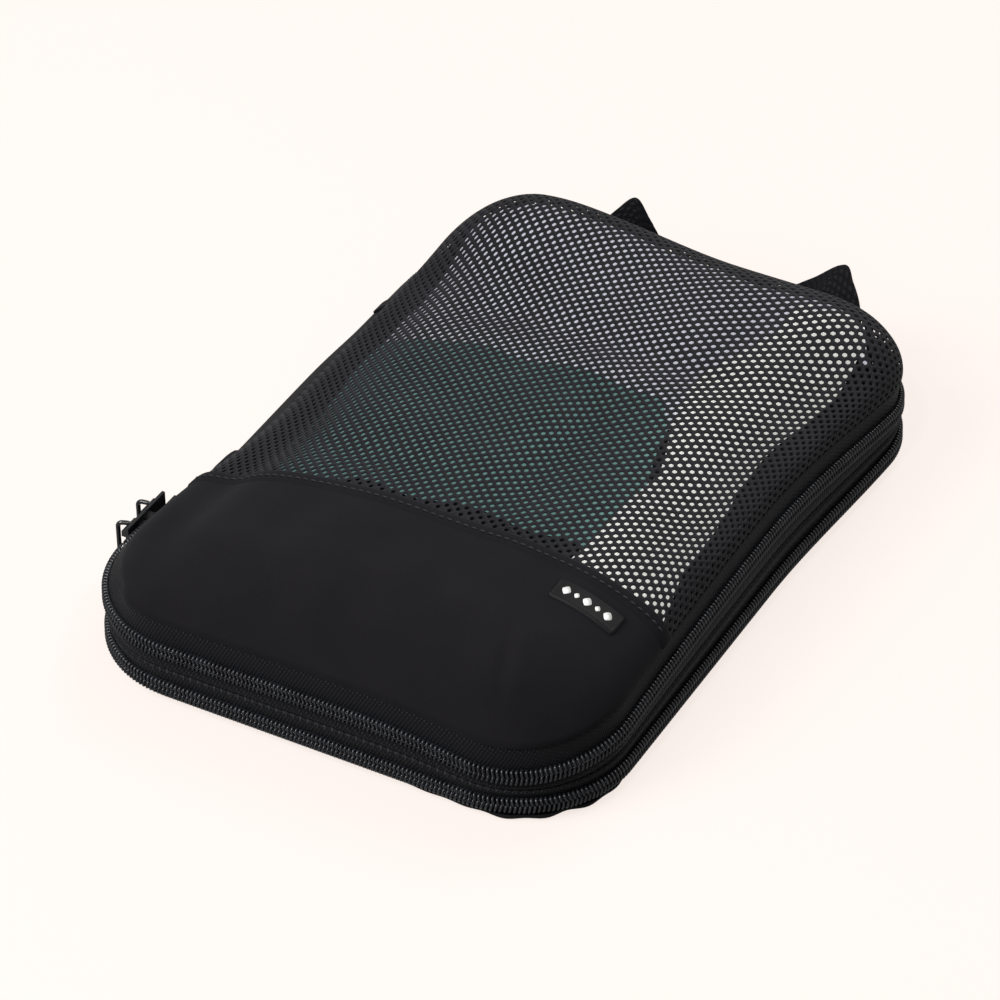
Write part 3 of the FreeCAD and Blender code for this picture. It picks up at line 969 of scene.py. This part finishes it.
# ---------------------------------------------------------------- stage
def studio():
    """Pale floor, plain surroundings and three soft lights."""
    bpy.ops.mesh.primitive_plane_add(size=8.0, location=(0, 0, -0.0005))
    floor = bpy.context.object
    floor.name = "floor"
    material, tree, shader = node_tree("floor_paint")
    place(tree)
    slow = noise(tree, 3.0)
    link(tree, colour_between(tree, slow.outputs["Fac"], 0.3, 0.7, (0.118, 0.118, 0.118),
                              (0.122, 0.122, 0.122)), shader.inputs["Base Color"])
    shader.inputs["Roughness"].default_value = 0.9
    shader.inputs["Emission Color"].default_value = (0.86, 0.777, 0.735, 1)
    shader.inputs["Emission Strength"].default_value = 1.0
    floor.data.materials.append(material)
    floor.visible_diffuse = False
    floor.visible_glossy = False
    bpy.context.scene.view_settings.view_transform = "Standard"
    world = bpy.data.worlds.new("studio")
    world.use_nodes = True
    world.node_tree.nodes["Background"].inputs["Color"].default_value = (1.0, 0.975, 0.95, 1)
    world.node_tree.nodes["Background"].inputs["Strength"].default_value = 0.32
    bpy.context.scene.world = world
    softbox("key_light", (-0.7, -1.1, 1.2), 0.9, 27.0)
    softbox("glint_light", (0.1, -0.9, 1.5), 0.18, 7.0)
    softbox("back_light", (0.2, 1.2, 1.4), 1.0, 15.0)


def softbox(name, location, size, power):
    """Square light that faces the cube."""
    data = bpy.data.lights.new(name, "AREA")
    data.energy = power
    data.size = size
    light = bpy.data.objects.new(name, data)
    light.location = location
    light.rotation_euler = Vector(location).to_track_quat("Z", "Y").to_euler()
    bpy.context.scene.collection.objects.link(light)


AZIMUTH = 29.128
ELEVATION = 37.94
ROLL = -0.551
DISTANCE = 1.5982
LENS = 171.14
AIM = Vector((-4.112, 3.556, 10.991)) * MM


def camera():
    """Long lens from the near right, looking down at the cube."""
    data = bpy.data.cameras.new("camera")
    data.sensor_width = 36.0
    data.lens = LENS
    data.clip_end = 20.0
    turn = (Matrix.Rotation(math.radians(AZIMUTH), 4, "Z")
            @ Matrix.Rotation(math.radians(90 - ELEVATION), 4, "X")
            @ Matrix.Rotation(math.radians(ROLL), 4, "Z"))
    obj = bpy.data.objects.new("camera", data)
    obj.matrix_world = Matrix.Translation(AIM) @ turn @ Matrix.Translation((0, 0, DISTANCE))
    bpy.context.scene.collection.objects.link(obj)
    bpy.context.scene.camera = obj


camera()
studio()
zip_tapes()
zip_coils()
side_linings()
hinge_wall()
end_tabs()
base_panel()
base_binding()
gusset()
front_panel()
mesh_panel()
seam_hem()
seam_a = np.linspace(-(SW + SKIRT) + 2, SW + SKIRT - 2, 400)
stitches("panel_topstitch", seam_a, seam_b(seam_a) - 2.6, 1.25, "lid")
label()
label_mark()
handle_strap()
handle_ends()
hardware()
clothes()
